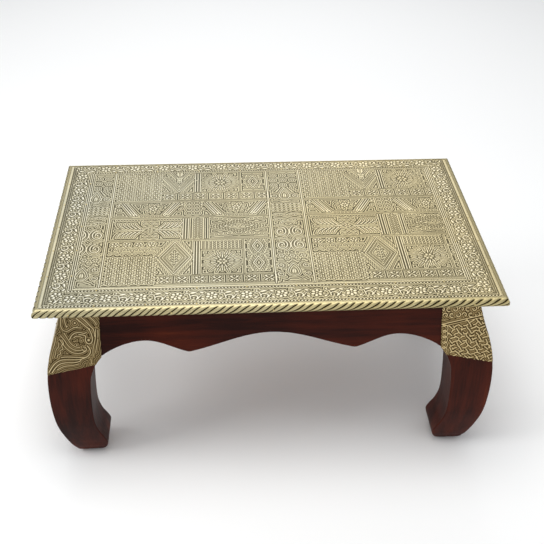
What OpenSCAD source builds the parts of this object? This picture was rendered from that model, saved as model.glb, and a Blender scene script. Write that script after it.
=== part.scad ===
// Low four-legged table with an embossed brass top, rope-moulded brass edge,
// brass leg caps, curved square legs and scalloped aprons.
// Millimetres, +X along the length, +Y to the back, +Z up.
// The origin is on the floor, under the middle of the top.

/* [Table] */
// Overall length, over the rope edge
table_l = 900; // [720:5:1200]
// Overall width, over the rope edge
table_w = 580; // [480:5:760]
// Height of the brass top above the floor
table_h = 400; // [330:5:500]

/* [Top] */
// Thickness of the wooden planks
board_t = 18.8; // [14:0.1:26]
// Number of planks glued edge to edge
plank_count = 4; // [2:1:6]
// Depth of the embossed sheet, from its back to the tops of its relief
sheet_t = 1.2; // [0.8:0.1:2]
// Thickness of the rope-moulded edge brass
rope_t = 0.8; // [0.5:0.1:1.5]
// Width of the front border strip
border_front = 60; // [35:1:80]
// Width of the back border strip
border_back = 40; // [30:1:80]
// Width of the two end border strips
border_end = 57; // [35:1:80]

/* [Legs] */
// Inset of the leg's outer face at its top
leg_top_in = 48; // [38:1:60]
// Inset of the knee, where the leg bulges furthest
knee_in = 7.2; // [4:0.2:16]
// Inset of the outer edge of the foot at the floor
foot_in = 51; // [36:1:62]
// Width of the square block at the leg's top
leg_block = 70; // [56:1:90]
// Thickness of the leg at its knee
knee_t = 82; // [62:1:96]
// Reach of the toe past the outer edge of the foot
toe_reach = 57; // [44:1:66]

/* [Aprons] */
// Thickness of an apron board
apron_t = 28; // [22:1:34]
// How far the apron's face sits behind the leg's face
apron_set = 1.5; // [0.5:0.5:4]
// Depth of the apron where it meets a leg
end_depth = 105; // [90:1:130]
// Depth of the apron at its pointed drops
drop_depth = 101; // [80:1:130]
// Depth of the apron at the middle of its centre arch
crown_depth = 66.5; // [50:0.5:90]
// Depth of the apron at the middle of each side arch
side_depth = 76.5; // [50:0.5:100]
// Distance of the drops from the middle of a long apron
drop_long = 163; // [100:1:200]
// Distance of the drops from the middle of a short apron
drop_short = 88; // [60:1:110]

/* [Joints] */
// Thickness of a tenon
tenon_t = 10; // [6:1:14]
// Height of a tenon
tenon_h = 50; // [30:1:60]
// Length of a tenon
tenon_l = 40; // [20:1:44]
// Clearance round a tenon in its mortise
tenon_gap = 0.3; // [0.1:0.1:0.6]
// Diameter of a peg
peg_d = 8; // [6:1:10]

/* [Underside] */
// Width of a cross batten
batten_w = 44; // [30:1:60]
// Height of a cross batten and of a fixing block
batten_h = 22; // [16:1:30]
// Distance of each cross batten from the middle
batten_x = 130; // [80:1:180]
// Length of a fixing block
block_l = 54; // [40:1:80]
// Distance of the long aprons' blocks from the middle
block_x = 246; // [200:1:270]
// Diameter of a screw's shank
screw_d = 4; // [3:0.5:5]

/* [Leg caps] */
// Thickness of the cap brass
cap_t = 1; // [0.6:0.1:1.5]
// Length of a cap at the leg's outer corner, from the top of the leg
cap_len = 143; // [100:1:160]
// Length of a cap where it meets the apron
cap_inner_len = 118; // [90:1:135]

/* [Pins] */
// Diameter of a brass pin's head
pin_head_d = 3; // [2:0.2:4]
// Diameter of a brass pin's shank
pin_d = 1.4; // [1:0.1:2]
// Length of a brass pin's shank
pin_len = 9; // [6:1:12]
// Largest spacing of the pins along an edge
pin_pitch = 100; // [60:5:160]

/* [Hidden] */
$fn = 48;
SIDES = ["front", "back", "left", "right"];
CORNERS = ["front_left", "front_right", "back_left", "back_right"];

// Colours
wood = [0.26, 0.12, 0.07];
raw_wood = [0.55, 0.38, 0.24];
top_brass = [0.78, 0.72, 0.52];
edge_brass = [0.85, 0.78, 0.55];
cap_brass = [0.56, 0.46, 0.30];
steel = [0.6, 0.6, 0.62];

// Levels and outlines of the top
top_t = board_t + sheet_t;
leg_h = table_h - top_t;
rope_r = top_t / 2;
flat_l = table_l - 2 * rope_r;
flat_w = table_w - 2 * rope_r;
sheet_z = table_h - sheet_t;
rope_z = table_h - rope_r;
plank_w = flat_w / plank_count;
field_l = flat_l - 2 * border_end;
field_w = flat_w - border_front - border_back;

// Wood left above a tenon, and how far a peg runs past it
tenon_drop = 10;
peg_past = 2;
// Heights of the two pegs up a tenon, and how far the side pegs sit below the front ones
peg_heights = [0.3, 0.75];
peg_stagger = peg_d + 2;

// Insets from the table's outer edges
shoulder_in = leg_top_in + leg_block;
apron_back_in = leg_top_in + apron_set + apron_t;
long_half = table_l / 2 - shoulder_in;
short_half = table_w / 2 - shoulder_in;
shoulder_z = leg_h - end_depth;
tenon_top = leg_h - tenon_drop;
tenon_z = tenon_top - tenon_h;
peg_in = shoulder_in - tenon_l / 2;
far = 2000;

// Pin and screw details
pin_head_t = 0.7;
pin_proud = 0.3;
strip_pin_gap = 5;
cap_pin_gap = 5;
cap_pin_step = 25;
screw_head_h = 2.5;
screw_len = 32;
batten_screw_end = 24;
tilt_step = 3;

// A smooth curve through points p, s steps between each pair
function spline(p, s) = [
    for (i = [0 : len(p) - 2])
        for (j = [0 : s - 1])
            knot(p[max(i - 1, 0)], p[i], p[i + 1], p[min(i + 2, len(p) - 1)], j / s),
    p[len(p) - 1]
];
function knot(a, b, c, d, t) =
    0.5 * (2 * b + (c - a) * t
        + (2 * a - 5 * b + 4 * c - d) * t * t
        + (3 * b - a - 3 * c + d) * t * t * t);

// Outer edge of the leg from floor to top: inset from the table's edge, height
outer_edge = spline([
    [foot_in, 0],
    [foot_in - 8, 0.018 * leg_h],
    [foot_in - 18, 0.074 * leg_h],
    [knee_in + 15, 0.163 * leg_h],
    [knee_in + 5.5, 0.268 * leg_h],
    [knee_in + 1.1, 0.382 * leg_h],
    [knee_in, 0.5 * leg_h],
    [knee_in + 2.6, 0.621 * leg_h],
    [knee_in + 11.8, 0.742 * leg_h],
    [leg_top_in - 13, 0.868 * leg_h],
    [leg_top_in, leg_h]
], 4);
// Inner edge of the leg from its shoulder down to the toe and the floor
inner_edge = spline([
    [shoulder_in, shoulder_z],
    [shoulder_in - 11.5, shoulder_z - 14],
    [knee_in + knee_t + 8, 0.873 * shoulder_z],
    [knee_in + knee_t + 2.5, 0.785 * shoulder_z],
    [knee_in + knee_t - 0.4, 0.553 * shoulder_z],
    [knee_in + knee_t, 0.4 * shoulder_z],
    [foot_in + toe_reach - 13, 0.285 * shoulder_z],
    [foot_in + toe_reach - 5.5, 0.205 * shoulder_z],
    [foot_in + toe_reach - 0.8, 0.15 * shoulder_z]
], 4);
// The toe's blunt end and its rounding under to the floor
toe_end = spline([
    [foot_in + toe_reach - 0.8, 0.15 * shoulder_z],
    [foot_in + toe_reach, 0.12 * shoulder_z],
    [foot_in + toe_reach - 5, 0.055 * shoulder_z],
    [foot_in + toe_reach - 15, 0.016 * shoulder_z],
    [foot_in + toe_reach - 30, 0]
], 3);
function outer_at(z) = lookup(z, [for (p = outer_edge) [p[1], p[0]]]);
// The apron's bowed face, a little behind the leg's face
function face_at(z) = outer_at(z) + apron_set;
// Upright tenon, midway between the bowed face at its top and the back at its foot
tenon_in = (face_at(tenon_top) + face_at(tenon_z) + apron_t - tenon_t) / 2;
peg_len = shoulder_in - tenon_in + peg_past;
function outer_tilt(z) =
    atan((outer_at(z + tilt_step) - outer_at(z - tilt_step)) / (2 * tilt_step));

// Places of n pins spread evenly over a run of a given length
function spread(run) =
    let (n = ceil(run / pin_pitch))
    [for (i = [0 : n - 1]) -run / 2 + run * (i + 0.5) / n];

// Lower edge of an apron: an S-curve from a drop up to an arch's middle
function rise(t) = 0.4 * (1 - cos(180 * t)) / 2 + 0.6 * sin(90 * t);
function round_rise(t) = pow(sin(90 * t), 0.8);
function apron_depth(x, half, drop) =
    let (mid = (half + drop) / 2)
    x < drop ? drop_depth - (drop_depth - crown_depth) * rise(1 - x / drop)
    : x < mid ? drop_depth - (drop_depth - side_depth) * rise((x - drop) / (mid - drop))
    : end_depth - (end_depth - side_depth) * round_rise((half - x) / (half - mid));
function apron_edge(half, drop) =
    let (
        n = 12,
        mid = (half + drop) / 2,
        xs = [
            for (i = [0 : n - 1]) drop * i / n,
            for (i = [0 : n - 1]) drop + (mid - drop) * i / n,
            for (i = [0 : n]) mid + (half - mid) * i / n
        ]
    )
    [for (x = xs) [x, leg_h - apron_depth(x, half, drop)]];

// Stands the front-left child in each corner of the table in turn
module in_corner(name) {
    flip_x = name == "front_right" || name == "back_right" ? 1 : 0;
    flip_y = name == "back_left" || name == "back_right" ? 1 : 0;
    mirror([0, flip_y, 0]) mirror([flip_x, 0, 0])
        translate([-table_l / 2, -table_w / 2, 0]) children();
}

// Upright outline in inset and height, stood across the front or along the end
module across_front(depth) {
    translate([0, depth, 0]) rotate([90, 0, 0]) linear_extrude(depth) children();
}
module along_end(depth) {
    rotate([90, 0, 90]) linear_extrude(depth) children();
}

// Brass pin driven along -Z, head at the origin
module pin(proud = 0) {
    translate([0, 0, proud - pin_head_t]) cylinder(d = pin_head_d, h = pin_head_t, $fn = 24);
    translate([0, 0, proud - pin_head_t - pin_len]) cylinder(d = pin_d, h = pin_len + 0.1, $fn = 16);
}

// Countersunk screw driven along +Z from the origin
module screw() {
    cylinder(d1 = 2 * screw_d, d2 = screw_d, h = screw_head_h, $fn = 24);
    cylinder(d = screw_d, h = screw_len, $fn = 24);
}

// ---- top ----
module plank(i) {
    color(raw_wood) difference() {
        translate([-flat_l / 2, -flat_w / 2 + i * plank_w, leg_h])
            cube([flat_l, plank_w, board_t]);
        border_pin_set();
        rope_pin_set();
        batten_screw_set();
        block_screw_set();
    }
}
module field_sheet() {
    color(top_brass) translate([-flat_l / 2 + border_end, -flat_w / 2 + border_front, sheet_z])
        cube([field_l, field_w, sheet_t]);
}
// Four-sided border strip, mitred from the flat's corners to the field's
module border(points) {
    color(top_brass) difference() {
        translate([0, 0, sheet_z]) linear_extrude(sheet_t) polygon(points);
        border_pin_set();
    }
}
outer_x = flat_l / 2;
outer_y = flat_w / 2;
field_x = outer_x - border_end;
field_y0 = -outer_y + border_front;
field_y1 = outer_y - border_back;
module border_front_strip() {
    border([[-outer_x, -outer_y], [outer_x, -outer_y], [field_x, field_y0], [-field_x, field_y0]]);
}
module border_back_strip() {
    border([[outer_x, outer_y], [-outer_x, outer_y], [-field_x, field_y1], [field_x, field_y1]]);
}
module border_left_strip() {
    border([[-outer_x, outer_y], [-outer_x, -outer_y], [-field_x, field_y0], [-field_x, field_y1]]);
}
module border_right_strip() {
    border([[outer_x, -outer_y], [outer_x, outer_y], [field_x, field_y1], [field_x, field_y0]]);
}

// ---- rounded edge ----
// Half-round bar along X on the front edge, mitred at both ends
module half_round(run, outer, inner) {
    intersection() {
        translate([-run / 2, 0, 0]) rotate([90, 0, 90]) linear_extrude(run)
            intersection() {
                difference() {
                    circle(outer);
                    if (inner > 0) circle(inner);
                }
                translate([-2 * outer, -2 * outer]) square([2 * outer, 4 * outer]);
            }
        translate([0, 0, -2 * outer]) linear_extrude(4 * outer)
            polygon([
                [-run / 2, -rope_r], [run / 2, -rope_r],
                [run / 2 - rope_r, 0], [-run / 2 + rope_r, 0]
            ]);
    }
}
module on_side(name) {
    if (name == "front") translate([0, -outer_y, rope_z]) children();
    if (name == "back") rotate(180) translate([0, -outer_y, rope_z]) children();
    if (name == "left") rotate(-90) translate([0, -outer_x, rope_z]) children();
    if (name == "right") rotate(90) translate([0, -outer_x, rope_z]) children();
}
function side_run(name) = name == "front" || name == "back" ? table_l : table_w;
module lipping(name) {
    color(raw_wood) difference() {
        on_side(name) half_round(side_run(name), rope_r - rope_t, 0);
        rope_pin_set();
    }
}
module rope(name) {
    color(edge_brass) difference() {
        on_side(name) half_round(side_run(name), rope_r, rope_r - rope_t);
        rope_pin_set();
    }
}

// ---- legs ----
// The leg's square-section form, its outer faces moved out by grow
module leg_form(grow) {
    outline = concat(
        [for (p = outer_edge) [p[0] - grow, p[1]]],
        [[shoulder_in, leg_h]],
        inner_edge,
        [for (i = [1 : len(toe_end) - 1]) toe_end[i]]
    );
    intersection() {
        across_front(3 * leg_block) polygon(outline);
        along_end(3 * leg_block) polygon(outline);
    }
}
module mortise() {
    translate([shoulder_in - tenon_l - tenon_gap, tenon_in - tenon_gap, tenon_z - tenon_gap])
        cube([tenon_l + 2 * tenon_gap, tenon_t + 2 * tenon_gap, tenon_h + 2 * tenon_gap]);
}
module leg(name) {
    color(wood) difference() {
        in_corner(name) difference() {
            leg_form(0);
            mortise();
            mirror([1, -1, 0]) mortise();
        }
        tenon_peg_set();
        cap_pin_set();
    }
}

// ---- leg caps ----
// Region above the slanting lower edge of the cap
module cap_region() {
    polygon([
        [0, leg_h - cap_len],
        [shoulder_in, leg_h - cap_inner_len],
        [far, leg_h - cap_inner_len],
        [far, leg_h],
        [0, leg_h]
    ]);
}
module cap(name) {
    color(cap_brass) difference() {
        in_corner(name) difference() {
            intersection() {
                leg_form(cap_t);
                across_front(3 * leg_block) cap_region();
                along_end(3 * leg_block) cap_region();
            }
            leg_form(0);
        }
        cap_pin_set();
    }
}

// ---- aprons ----
// Section of an apron: its face bows out with the leg, its back is upright behind the blocks
section_past = 10;
back_ease = 30;
low_z = leg_h - max(end_depth, drop_depth) - section_past;
waist_z = leg_h - batten_h - back_ease;
function level(i, n, z0, z1) = z0 + (z1 - z0) * i / n;
apron_section = concat(
    [[apron_back_in, leg_h]],
    [for (i = [0 : 12]) let (z = level(i, 12, leg_h, low_z)) [face_at(z), z]],
    [for (i = [0 : 6]) let (z = level(i, 6, low_z, waist_z)) [face_at(z) + apron_t, z]],
    [[apron_back_in, leg_h - batten_h]]
);
// Apron along X, seen from the table's front edge, its top at the leg's top
module apron_board(half, drop) {
    root = 5;
    edge = apron_edge(half, drop);
    mirrored = [for (i = [len(edge) - 1 : -1 : 1]) [-edge[i][0], edge[i][1]]];
    intersection() {
        across_front(2 * apron_back_in)
            polygon(concat([[half, leg_h], [-half, leg_h]], mirrored, edge));
        translate([-half, 0, 0]) along_end(2 * half) polygon(apron_section);
    }
    for (s = [-1, 1])
        mirror([s < 0 ? 1 : 0, 0, 0])
            translate([half - root, tenon_in, tenon_z]) cube([tenon_l + root, tenon_t, tenon_h]);
}
module apron(name) {
    long = name == "front" || name == "back";
    turn = name == "front" ? 0 : name == "back" ? 180 : name == "left" ? -90 : 90;
    edge_y = long ? table_w / 2 : table_l / 2;
    color(wood) difference() {
        rotate(turn) translate([0, -edge_y, 0])
            apron_board(long ? long_half : short_half, long ? drop_long : drop_short);
        tenon_peg_set();
        block_screw_set();
    }
}

// ---- underside ----
module batten(side) {
    run = table_w - 2 * apron_back_in;
    color(raw_wood) difference() {
        translate([side * batten_x - batten_w / 2, -run / 2, leg_h - batten_h])
            cube([batten_w, run, batten_h]);
        batten_screw_set();
    }
}
block_places = [
    [-block_x, -table_w / 2 + apron_back_in, 0],
    [block_x, -table_w / 2 + apron_back_in, 0],
    [-block_x, table_w / 2 - apron_back_in, 180],
    [block_x, table_w / 2 - apron_back_in, 180],
    [-table_l / 2 + apron_back_in, 0, -90],
    [table_l / 2 - apron_back_in, 0, 90]
];
module at_block(i) {
    translate([block_places[i][0], block_places[i][1], leg_h]) rotate(block_places[i][2])
        children();
}
module fixing_block(i) {
    color(raw_wood) difference() {
        at_block(i) translate([-block_l / 2, 0, -batten_h]) cube([block_l, batten_h, batten_h]);
        block_screw_set();
    }
}

// ---- fasteners ----
module batten_screw_set() {
    for (side = [-1, 1], i = [0 : plank_count - 1])
        translate([side * batten_x, batten_screw_y(i), leg_h - batten_h]) screw();
}
function batten_screw_y(i) =
    let (
        inner = table_w / 2 - apron_back_in - batten_screw_end,
        y = (i + 0.5) * plank_w - flat_w / 2
    )
    max(-inner, min(inner, y));
module block_screw_set() {
    for (i = [0 : len(block_places) - 1]) {
        at_block(i) translate([-block_l / 4, batten_h / 2, -batten_h]) screw();
        at_block(i) translate([block_l / 4, batten_h, -batten_h / 2]) rotate([90, 0, 0]) screw();
    }
}
// Pegs enter from the leg's inner faces and cross the tenons
module tenon_peg_set() {
    for (name = CORNERS) in_corner(name)
        for (up = peg_heights) {
            z = tenon_z + tenon_h * up;
            translate([peg_in, shoulder_in, z]) rotate([90, 0, 0]) cylinder(d = peg_d, h = peg_len);
            translate([shoulder_in, peg_in, z - peg_stagger]) rotate([0, -90, 0])
                cylinder(d = peg_d, h = peg_len);
        }
}
module border_pin_set() {
    gap = strip_pin_gap;
    for (x = spread(2 * field_x))
        for (y = [-outer_y + gap, field_y0 - gap, field_y1 + gap, outer_y - gap])
            translate([x, y, table_h]) pin();
    for (y = spread(field_w))
        for (x = [outer_x - gap, field_x + gap], s = [-1, 1])
            translate([s * x, y + (field_y0 + field_y1) / 2, table_h]) pin();
}
module rope_pin_set() {
    for (name = SIDES) on_side(name)
        for (x = spread(side_run(name) - 4 * rope_r))
            translate([x, -rope_r, 0]) rotate([90, 0, 0]) pin();
}
// Pins round the edges of a cap, on the front face and on the end face
module cap_pin_set() {
    low = leg_h - cap_len;
    slope = (cap_len - cap_inner_len) / shoulder_in;
    inner = shoulder_in - cap_pin_gap;
    spots = concat(
        [for (i = [0 : 3]) let (u = inner - (i + 0.5) * cap_pin_step)
            [u, low + slope * u + cap_pin_gap]],
        [for (i = [0 : 2]) [inner, shoulder_z + (i + 0.5) * cap_pin_step]]
    );
    for (name = CORNERS) in_corner(name)
        for (p = spots) {
            cap_pin_at(p);
            mirror([1, -1, 0]) cap_pin_at(p);
        }
}
module cap_pin_at(p) {
    translate([p[0], outer_at(p[1]) - cap_t, p[1]])
        rotate([90 + outer_tilt(p[1]), 0, 0]) pin(pin_proud);
}
module tenon_pegs() { color(raw_wood) tenon_peg_set(); }
module batten_screws() { color(steel) batten_screw_set(); }
module block_screws() { color(steel) block_screw_set(); }
module border_pins() { color(edge_brass) border_pin_set(); }
module rope_pins() { color(edge_brass) rope_pin_set(); }
module cap_pins() { color(edge_brass) cap_pin_set(); }

plank(0);  // plank_1
plank(1);  // plank_2
plank(2);  // plank_3
plank(3);  // plank_4
batten(-1);  // batten_left
batten(1);  // batten_right
fixing_block(0);  // block_front_left
fixing_block(1);  // block_front_right
fixing_block(2);  // block_back_left
fixing_block(3);  // block_back_right
fixing_block(4);  // block_left
fixing_block(5);  // block_right
lipping("front");  // lipping_front
lipping("back");  // lipping_back
lipping("left");  // lipping_left
lipping("right");  // lipping_right
rope("front");  // rope_front
rope("back");  // rope_back
rope("left");  // rope_left
rope("right");  // rope_right
field_sheet();
border_front_strip();
border_back_strip();
border_left_strip();
border_right_strip();
leg("front_left");  // leg_front_left
leg("front_right");  // leg_front_right
leg("back_left");  // leg_back_left
leg("back_right");  // leg_back_right
cap("front_left");  // cap_front_left
cap("front_right");  // cap_front_right
cap("back_left");  // cap_back_left
cap("back_right");  // cap_back_right
apron("front");  // apron_front
apron("back");  // apron_back
apron("left");  // apron_left
apron("right");  // apron_right
tenon_pegs();
batten_screws();
block_screws();
border_pins();
rope_pins();
cap_pins();
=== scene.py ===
import math

import bmesh
import bpy
import numpy as np
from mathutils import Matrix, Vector
from mathutils.bvhtree import BVHTree


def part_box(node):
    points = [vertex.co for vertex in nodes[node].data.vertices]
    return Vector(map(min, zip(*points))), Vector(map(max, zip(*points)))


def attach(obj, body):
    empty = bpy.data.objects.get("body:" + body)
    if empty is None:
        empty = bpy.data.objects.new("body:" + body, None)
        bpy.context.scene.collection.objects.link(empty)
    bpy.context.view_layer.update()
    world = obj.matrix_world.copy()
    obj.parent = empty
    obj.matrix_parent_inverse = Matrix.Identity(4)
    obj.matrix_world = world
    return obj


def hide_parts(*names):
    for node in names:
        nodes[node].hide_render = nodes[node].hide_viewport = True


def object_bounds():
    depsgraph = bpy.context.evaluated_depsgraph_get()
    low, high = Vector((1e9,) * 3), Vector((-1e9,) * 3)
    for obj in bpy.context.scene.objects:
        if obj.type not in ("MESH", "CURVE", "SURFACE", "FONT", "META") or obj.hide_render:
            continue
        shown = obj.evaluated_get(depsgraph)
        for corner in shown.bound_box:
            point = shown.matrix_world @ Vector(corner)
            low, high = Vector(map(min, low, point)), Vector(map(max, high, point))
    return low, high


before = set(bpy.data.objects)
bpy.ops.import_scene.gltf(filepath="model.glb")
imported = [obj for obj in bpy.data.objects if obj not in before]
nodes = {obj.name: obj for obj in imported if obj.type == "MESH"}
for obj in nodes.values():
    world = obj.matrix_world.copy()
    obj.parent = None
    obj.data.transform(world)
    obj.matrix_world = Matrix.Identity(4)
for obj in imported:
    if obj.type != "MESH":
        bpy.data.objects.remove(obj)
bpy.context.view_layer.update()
mm = 0.001
print("frame loaded")

tableHalfX, tableHalfY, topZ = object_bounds()[1]
fieldLow, fieldHigh = [Vector(corner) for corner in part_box("field_sheet")]
boardLow, boardHigh = [Vector(corner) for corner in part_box("plank_1")]
flatHalfX = boardHigh.x
flatHalfY = -boardLow.y
boardTopZ = boardHigh.z
boardUnderZ = boardLow.z
edgeRadius = tableHalfX - flatHalfX


def linearColour(code):
    channels = [int(code[i:i + 2], 16) / 255 for i in (0, 2, 4)]
    return tuple(c / 12.92 if c <= 0.04045 else ((c + 0.055) / 1.055) ** 2.4 for c in channels) + (1,)


# Adds one node; a link may come from a socket, or from a node's first output
def addNode(tree, kind, settings=None, links=None):
    node = tree.nodes.new("ShaderNode" + kind)
    for key, value in (settings or {}).items():
        if key == "steps":
            stops = node.color_ramp.elements
            while len(stops) < len(value):
                stops.new(0.5)
            for stop, (place, code) in zip(stops, value):
                stop.position = place
                stop.color = linearColour(code)
        elif isinstance(key, int) or key in node.inputs:
            node.inputs[key].default_value = value
        else:
            setattr(node, key, value)
    for key, source in (links or {}).items():
        socket = source.outputs[0] if isinstance(source, bpy.types.Node) else source
        tree.links.new(socket, node.inputs[key])
    return node


def newMaterial(name):
    material = bpy.data.materials.new(name)
    material.use_nodes = True
    tree = material.node_tree
    tree.nodes.clear()
    return material, tree


embossedLook = {
    "steps": [(0.0, "2C281D"), (0.22, "69634D"), (0.5, "B1A98B"), (0.75, "D9D1B2"), (1.0, "F3EDD8")],
    # painted light: cool and warm tints for the light falling on the left and right ends
    "coolLightTint": "CDD6E6",
    "warmLightTint": "FFF0CC",
    "lightTintShare": 0.55,
    "roughness": 0.38,
    "dullGround": 0.22,
    "blotch": 0.24,
    "stippleMm": 1.3,
}
# the rope and the caps get their own painted cool and warm light tints
ropeLook = dict(embossedLook, roughness=0.47, coolLightTint="EDEBE0", warmLightTint="FBEFC6", steps=[
    (0.0, "1B170E"), (0.3, "463E28"), (0.55, "958B6C"), (0.78, "BDB492"), (1.0, "D0C8AB")])
capLook = dict(embossedLook, roughness=0.4, coolLightTint="EDE6DA", warmLightTint="F3E4C4", steps=[
    (0.0, "231B10"), (0.22, "4A3E28"), (0.5, "7F6F4F"), (0.75, "AB9A74"), (1.0, "D4C59F")])


# Brass sheet, embossed by hand over a soft ground, then antiqued and rubbed back:
# the raised work is pale and bright, the ground keeps a grey-brown patina
def embossedBrass(name, look):
    material, tree = newMaterial(name)
    coords = addNode(tree, "TexCoord").outputs["Object"]
    # the relief attribute carries the patina; on the rope it also holds painted shade
    relief = addNode(tree, "Attribute", {"attribute_name": "relief"}).outputs["Fac"]
    blotch = addNode(tree, "TexNoise", {"Scale": 9.0, "Detail": 3.0, "Roughness": 0.6}, {"Vector": coords})
    spread = look["blotch"]
    shifted = addNode(tree, "Math", {"operation": "MULTIPLY_ADD", 1: spread, 2: -spread / 2}, {0: blotch})
    worn = addNode(tree, "Math", {"operation": "ADD", "use_clamp": True}, {0: relief, 1: shifted})
    base = addNode(tree, "ValToRGB", {"steps": look["steps"]}, {"Fac": worn})
    # painted light: the sheet is tinted cool towards the left end and warm towards the right, for cooler
    # and warmer light falling there; the noise adds random tone
    parts = addNode(tree, "SeparateXYZ", links={"Vector": coords})
    across = addNode(tree, "MapRange", {"From Min": -tableHalfX, "From Max": tableHalfX}, {"Value": parts})
    cloud = addNode(tree, "TexNoise", {"Scale": 3.2, "Detail": 2.0}, {"Vector": coords})
    lightTintPlace = addNode(tree, "Math", {"operation": "MULTIPLY_ADD", 1: 0.55, 2: 0.0}, {0: across, 2: cloud})
    lightTintSteps = [(0.35, look["coolLightTint"]), (0.95, look["warmLightTint"])]
    paintedLightTint = addNode(tree, "ValToRGB", {"steps": lightTintSteps}, {"Fac": lightTintPlace})
    colour = addNode(tree, "Mix", {"data_type": "RGBA", "blend_type": "MULTIPLY", 0: look["lightTintShare"]},
                     {6: base, 7: paintedLightTint}).outputs[2]
    rough = addNode(tree, "MapRange", {"To Min": look["roughness"] + look["dullGround"],
                                       "To Max": look["roughness"] - 0.04}, {"Value": worn})
    stipple = addNode(tree, "TexNoise", {"Scale": 1000 / look["stippleMm"], "Detail": 2.0},
                      {"Vector": coords})
    bump = addNode(tree, "Bump", {"Strength": 0.25, "Distance": 0.0004}, {"Height": stipple})
    shader = addNode(tree, "BsdfPrincipled", {"Metallic": 1.0},
                     {"Base Color": colour, "Roughness": rough, "Normal": bump})
    addNode(tree, "OutputMaterial", links={"Surface": shader})
    return material


lacquerLook = {
    "steps": [(0.28, "150604"), (0.42, "290E08"), (0.56, "47190C"), (0.74, "7A381A")],
    "roughness": 0.4,
    "grainMm": 2.2,
    "coat": 0.03,
}
bareLook = {
    "steps": [(0.25, "6E4A2C"), (0.5, "8F6640"), (0.8, "AE8456")],
    "roughness": 0.62,
    "grainMm": 2.5,
    "coat": 0.0,
}


# Sheesham, sawn and planed; the show faces are stained and lacquered, the rest is left bare.
# Fine dark streaks run along the board, over slow changes of red and brown
def boardWood(name, look, along, shift=0.0):
    material, tree = newMaterial(name)
    centred = addNode(tree, "TexCoord").outputs["Object"]
    coords = addNode(tree, "Mapping", {"Location": (shift, 0, 0)}, {"Vector": centred})
    stretch = [1.0, 1.0, 1.0]
    stretch[along] = 0.07
    laid = addNode(tree, "Mapping", {"Scale": stretch}, {"Vector": coords})
    figure = addNode(tree, "TexNoise", {"Scale": 26.0, "Detail": 4.0, "Roughness": 0.6, "Distortion": 0.6},
                     {"Vector": laid})
    streaks = addNode(tree, "TexNoise", {"Scale": 500 / look["grainMm"], "Detail": 5.0, "Roughness": 0.7},
                      {"Vector": laid})
    patch = addNode(tree, "TexNoise", {"Scale": 6.5, "Detail": 2.0}, {"Vector": coords})
    mixed = addNode(tree, "Mix", {"data_type": "FLOAT", 0: 0.3}, {2: figure, 3: streaks})
    toned = addNode(tree, "Mix", {"data_type": "FLOAT", 0: 0.35}, {2: mixed, 3: patch})
    colour = addNode(tree, "ValToRGB", {"steps": look["steps"]}, {"Fac": toned})
    rough = addNode(tree, "MapRange", {"To Min": look["roughness"] + 0.1,
                                       "To Max": look["roughness"] - 0.05}, {"Value": streaks})
    bump = addNode(tree, "Bump", {"Strength": 0.18, "Distance": 0.0005}, {"Height": streaks})
    shader = addNode(tree, "BsdfPrincipled", {"IOR": 1.5, "Specular IOR Level": 0.07,
                                              "Coat Weight": look["coat"], "Coat Roughness": 0.2},
                     {"Base Color": colour, "Roughness": rough, "Normal": bump})
    addNode(tree, "OutputMaterial", links={"Surface": shader})
    return material


# Small metal fixings: zinc plated steel screws are a cool grey with faint mottling, and turned brass
# pins are warm, with heads rubbed by hands
def fixingMetal(name, speckle, steps, roughness):
    material, tree = newMaterial(name)
    coords = addNode(tree, "TexCoord").outputs["Object"]
    mottle = addNode(tree, "TexNoise", {"Scale": speckle, "Detail": 3.0}, {"Vector": coords})
    colour = addNode(tree, "ValToRGB", {"steps": steps}, {"Fac": mottle})
    shader = addNode(tree, "BsdfPrincipled", {"Metallic": 1.0, "Roughness": roughness},
                     {"Base Color": colour})
    addNode(tree, "OutputMaterial", links={"Surface": shader})
    return material


topBrass = embossedBrass("embossed brass sheet", embossedLook)
ropeBrass = embossedBrass("rope-moulded brass", ropeLook)
capBrass = embossedBrass("antiqued cap brass", capLook)
uprightWood = boardWood("lacquered sheesham, upright", lacquerLook, 2)
longWood = boardWood("lacquered sheesham, lengthways", lacquerLook, 0, 0.45)
crossWood = boardWood("lacquered sheesham, crossways", lacquerLook, 1)
bareLong = boardWood("planed sheesham, lengthways", bareLook, 0)
bareCross = boardWood("planed sheesham, crossways", bareLook, 1)
screwSteel = fixingMetal("zinc plated steel", 700.0, [(0.3, "8C9096"), (0.7, "B9BDC2")], 0.35)
topPinBrass = fixingMetal("turned brass pins", 400.0, [(0.35, "A8935C"), (0.65, "DCCB94")], 0.36)
capPinBrass = fixingMetal("turned brass pins, antiqued", 400.0, [(0.35, "6B5634"), (0.65, "A38C5C")], 0.36)
print("materials made")


# A relief is a sheet of heights on a fine grid in mm, which the embossing is pressed into
def newRelief(x0, x1, y0, y1, cell=0.5):
    wide = int(math.ceil((x1 - x0) / cell)) + 1
    deep = int(math.ceil((y1 - y0) / cell)) + 1
    return {"x0": x0, "y0": y0, "x1": x1, "y1": y1, "cell": cell, "height": np.zeros((deep, wide))}


def windowOf(relief, x0, x1, y0, y1):
    cell = relief["cell"]
    deep, wide = relief["height"].shape
    i0 = max(int((x0 - relief["x0"]) / cell), 0)
    i1 = min(int((x1 - relief["x0"]) / cell) + 2, wide)
    j0 = max(int((y0 - relief["y0"]) / cell), 0)
    j1 = min(int((y1 - relief["y0"]) / cell) + 2, deep)
    if i0 >= i1 or j0 >= j1:
        return None
    xs = relief["x0"] + cell * np.arange(i0, i1)
    ys = relief["y0"] + cell * np.arange(j0, j1)
    return (slice(j0, j1), slice(i0, i1)), xs[None, :], ys[:, None]


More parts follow.
